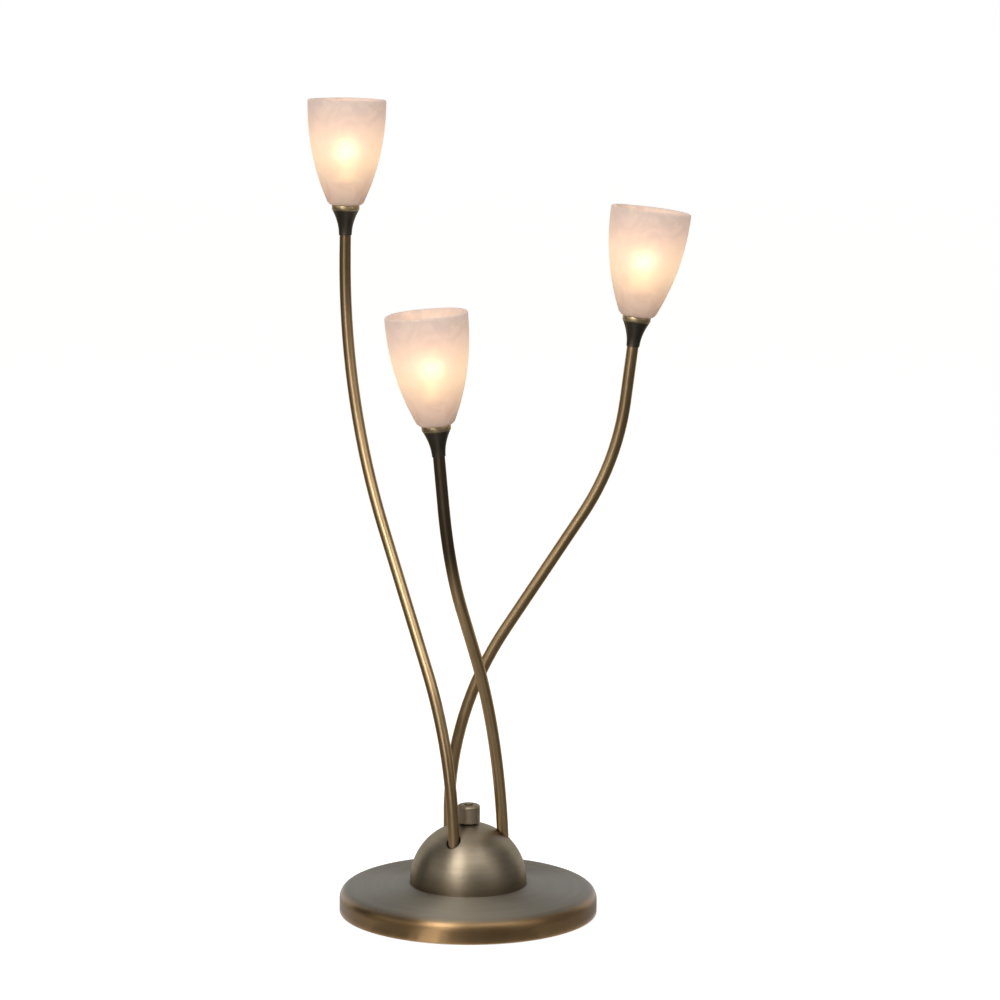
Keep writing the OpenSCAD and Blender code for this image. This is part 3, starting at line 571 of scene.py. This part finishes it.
foot_round, foot_draw, glass_floor, nipple_way, fillet = 1.6, 1.85, 3.4, 4.8, 1.0
foot_turns = [math.radians(t) for t in range(0, 90, 15)]
rim_turns = [math.radians(t) for t in range(15, 180, 15)]
outer = [(root - foot_draw * (1 - math.sin(t)), foot_round * (1 - math.cos(t))) for t in foot_turns]
rise = [foot_round + (round_at - foot_round) * step / 56 for step in range(57)]
outer += [(bowl_radius(h), h) for h in rise]
centre = bowl_radius(round_at) - thick / 2
rim = [(centre + thick / 2 * math.cos(t), round_at + thick / 2 * math.sin(t)) for t in rim_turns]
corner = glass_floor + fillet
inner = [(bowl_radius(h) - thick, h) for h in reversed(rise) if h > corner]
floor = [(bowl_radius(corner) - thick - 0.4, glass_floor + fillet / 2),
         (bowl_radius(glass_floor) - thick - 1.3, glass_floor), (nipple_way, glass_floor), (nipple_way, 0.0)]
shade_outline = [(r, h + shade_low) for r, h in outer + rim + inner + floor]
waver_from, waver_over = 55.0, 40.0


def hand_finished(start):
    """The slight waver of a rim worked by hand. It starts elsewhere on each shade."""
    def waver(radius, height, turn):
        high = max(0.0, (height - waver_from) / waver_over)
        dip = 0.12 * high * (1 + math.sin(3 * turn + start))
        return radius + 0.10 * high * math.sin(2 * turn + start), height - dip
    return waver


for number, arm in enumerate(tips):
    shade = lathe(f"tulip_shade_{arm}", shade_outline, marble, steps=160,
                  waver=hand_finished(1.7 * number))
    at_tip(shade, arm)
    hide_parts(f"glass_shade_{arm}")


# ---------------------------------------------------------------- floor, light and camera
# A plain white floor and a white surround, a soft box in front on the left and a weaker one on
# the right. Cards that show only in reflections stand round the lamp and lie on the floor, so
# that the bronze has a room to mirror, and the camera stands in front, a little above.


class Surround(Finish):
    """The air round the lamp, with its nodes made as in a finish."""

    def __init__(self, world):
        world.use_nodes = True
        self.tree = world.node_tree
        self.shader = self.tree.nodes["Background"]
        self.end = self.tree.nodes["World Output"]


def ends_in(finish, wire):
    """Lets another shader be what the finish shows."""
    finish.tree.links.new(wire.socket, finish.end.inputs["Surface"])


def bright_to_eyes(finish, plain, bright):
    """Shows bright to the camera, to gloss and through glass, and plain to the light."""
    seen = finish.node("ShaderNodeLightPath", out="Is Camera Ray")
    for ray in ("Is Glossy Ray", "Is Transmission Ray"):
        seen = seen.sum("MAXIMUM", seen, finish.node("ShaderNodeLightPath", out=ray))
    ends_in(finish, finish.node("ShaderNodeMixShader", None, {0: seen, 1: plain, 2: bright}))


world = bpy.data.worlds.new("white_surround")
bpy.context.scene.world = world
air = Surround(world)
air.shader.inputs["Color"].default_value = (1.0, 0.985, 0.965, 1.0)
air.shader.inputs["Strength"].default_value = 0.38
white = air.node("ShaderNodeBackground", None, {"Color": (1.0, 1.0, 1.0, 1.0), "Strength": 1.0})
bright_to_eyes(air, Wire(air, air.shader.outputs[0]), white)

table_reach = 8.0
table_top = bpy.data.meshes.new("table_top")
table_corners = [(-1, -1), (1, -1), (1, 1), (-1, 1)]
table_top.from_pydata([(table_reach * x, table_reach * y, 0) for x, y in table_corners], [], [(0, 1, 2, 3)])
table = bpy.data.objects.new("table_top", table_top)
bpy.context.scene.collection.objects.link(table)
paint = Finish("white_table", Base_Color=(0.62, 0.61, 0.60, 1.0), Roughness=0.9)
matt = Wire(paint, paint.shader.outputs[0])
lit = paint.node("ShaderNodeEmission", None, {"Strength": 0.72})
bright_to_eyes(paint, matt, paint.node("ShaderNodeAddShader", None, {0: matt, 1: lit}))
table_top.materials.append(paint.material)


def soft_box(name, azimuth, elevation, distance, wide, high, power, tint, aim=(0.0, 0.0, 0.22)):
    """A rectangular lamp. Azimuth 0 is where the camera stands, and minus is to its left."""
    light = bpy.data.lights.new(name, "AREA")
    light.shape = "RECTANGLE"
    light.size, light.size_y = wide, high
    light.energy = power
    light.color = tint
    stand = bpy.data.objects.new(name, light)
    a, e = math.radians(azimuth), math.radians(elevation)
    out = Vector((math.sin(a) * math.cos(e), -math.cos(a) * math.cos(e), math.sin(e)))
    stand.location = Vector(aim) + out * distance
    stand.rotation_euler = (-out).to_track_quat("-Z", "Y").to_euler()
    bpy.context.scene.collection.objects.link(stand)


soft_box("key_box", -28, 42, 1.7, 0.65, 1.1, 18.0, (1.0, 0.97, 0.93))
soft_box("fill_box", 28, 52, 2.0, 1.3, 0.8, 11.0, (1.0, 0.98, 0.96))


def mirror_card(name, first, last, inner, outer, tone, tint=(1.0, 0.96, 0.91)):
    """A glowing card that shows only in reflections. It sweeps from azimuth first to last
    between two points, each a distance and a height."""
    corners = []
    steps = max(2, round((last - first) / 8))
    for step in range(steps + 1):
        a = math.radians(first + (last - first) * step / steps)
        corners += [(r * math.sin(a), -r * math.cos(a), z) for r, z in (inner, outer)]
    card = bpy.data.meshes.new(name)
    card.from_pydata(corners, [], [(i, i + 1, i + 3, i + 2) for i in range(0, len(corners) - 2, 2)])
    paper = Finish(name)
    ends_in(paper, paper.node("ShaderNodeEmission", None, {"Color": (*tint, 1.0), "Strength": tone}))
    card.materials.append(paper.material)
    flag = bpy.data.objects.new(name, card)
    bpy.context.scene.collection.objects.link(flag)
    flag.visible_camera = flag.visible_diffuse = flag.visible_transmission = flag.visible_shadow = False


# Round the lamp and over it: a dark room, its windows and its paler walls
mirror_card("front_flag", -125, 125, (3.0, 0.0), (3.0, 3.2), 0.045)
mirror_card("roof_flag", -150, 150, (0.0, 3.2), (3.0, 3.2), 0.05)
mirror_card("low_window", -32, -12, (2.9, 0.25), (2.86, 0.76), 3.6)
mirror_card("mid_window", -42, -15, (2.86, 0.76), (2.70, 1.28), 1.2)
mirror_card("left_wall", -95, -42, (2.83, 0.88), (2.50, 1.65), 1.0)
mirror_card("left_low", -95, -42, (2.88, 0.50), (2.83, 0.88), 0.35)
mirror_card("high_window", -20, 12, (2.65, 1.40), (2.20, 2.10), 0.60)
mirror_card("right_window", 42, 72, (2.79, 1.00), (2.00, 2.29), 1.20)
mirror_card("right_low", 42, 125, (2.90, 0.55), (2.79, 1.00), 0.60)
mirror_card("right_wall", 25, 42, (2.79, 1.00), (2.30, 2.00), 0.40)
mirror_card("rear_wall", 72, 125, (2.40, 1.70), (1.50, 2.70), 0.40)
# On the floor, in rings round the lamp: their heights and distances, and then the cards
flat, lifted = 0.0008, 0.0012
lamp_edge, lamp_clear, near, middle, next_ring, far, wall = 0.092, 0.15, 0.19, 0.22, 0.30, 0.50, 3.0
mirror_card("near_left", -125, -50, (lamp_edge, flat), (near, flat), 0.60)
mirror_card("near_dull", -50, -28, (lamp_edge, flat), (near, flat), 0.28)
mirror_card("near_dawn", -28, -23, (lamp_edge, flat), (near, flat), 0.75)
mirror_card("near_bright", -23, -13, (lamp_edge, flat), (near, flat), 1.9)
mirror_card("near_dusk", -13, -9, (lamp_edge, flat), (near, flat), 0.60)
mirror_card("next_left", -125, -12, (near, flat), (next_ring, flat), 0.38)
mirror_card("near_middle", -9, 35, (lamp_edge, flat), (lamp_clear, flat), 0.13)
mirror_card("near_lifted", -9, 45, (lamp_clear, lifted), (middle, lifted), 0.70)
mirror_card("near_right", 35, 125, (lamp_edge, flat), (near, flat), 0.38)
mirror_card("next_middle", -12, 10, (near, flat), (far, flat), 0.55)
mirror_card("next_right", 10, 125, (near, flat), (far, flat), 0.15)
mirror_card("far_left", -125, -12, (next_ring, flat), (wall, flat), 0.14)
mirror_card("far_middle", -12, 14, (far, flat), (wall, flat), 0.48)
mirror_card("far_right", 14, 125, (far, flat), (wall, flat), 0.12)

eye, look_down, roll, lens = (0.0204, -2.400, 0.6647), 8.85, 0.39, 127.1
camera = bpy.data.objects.new("camera", bpy.data.cameras.new("camera"))
camera.data.sensor_width = 36.0
camera.data.lens = lens
tilt = Matrix.Rotation(math.radians(90 - look_down), 4, "X")
camera.matrix_world = tilt @ Matrix.Rotation(math.radians(roll), 4, "Z")
camera.location = eye
bpy.context.scene.collection.objects.link(camera)
bpy.context.scene.camera = camera
bpy.context.scene.view_settings.view_transform = "Standard"
